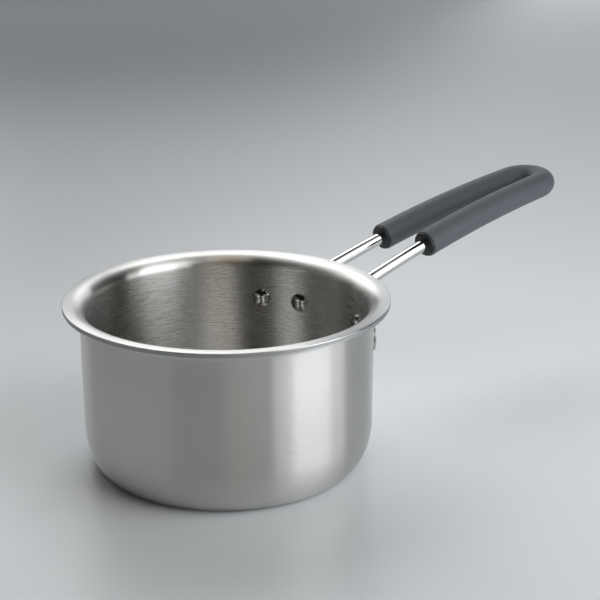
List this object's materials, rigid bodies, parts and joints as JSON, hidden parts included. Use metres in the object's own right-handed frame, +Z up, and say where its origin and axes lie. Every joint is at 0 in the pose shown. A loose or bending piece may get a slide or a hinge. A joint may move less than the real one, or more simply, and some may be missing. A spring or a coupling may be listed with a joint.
{
  "type": "saucepan",
  "caption": "Small clad stainless saucepan with a flared lip and a long riveted wire handle in a U-shaped silicone grip, whose loop also hangs it up.",
  "frame": {"origin": "centre of the pan's flat base, on the surface it stands on", "axes": "+Z up out of the pan's mouth; +X from the pan towards the handle's tip; the handle's left leg is at +Y"},
  "size_m": [0.3199, 0.161, 0.1162],
  "materials": {
    "brushed_stainless": "brushed round the pan, satin",
    "polished_stainless": "polished stainless steel",
    "aluminium_core": "as rolled, hidden between the steel plies",
    "slate_silicone": "matte moulded silicone",
    "black_nylon": "matte moulded nylon"
  },
  "bodies": {
    "root": {"pan_inner_ply": "brushed_stainless", "pan_core_ply": "aluminium_core", "pan_outer_ply": "brushed_stainless", "handle_rod": "polished_stainless", "grip_sleeve": "slate_silicone", "grip_end_bush_left": "black_nylon", "grip_end_bush_right": "black_nylon", "rivet_left_outer": "polished_stainless", "rivet_left_inner": "polished_stainless", "rivet_right_inner": "polished_stainless", "rivet_right_outer": "polished_stainless"}
  },
  "joints": []
}
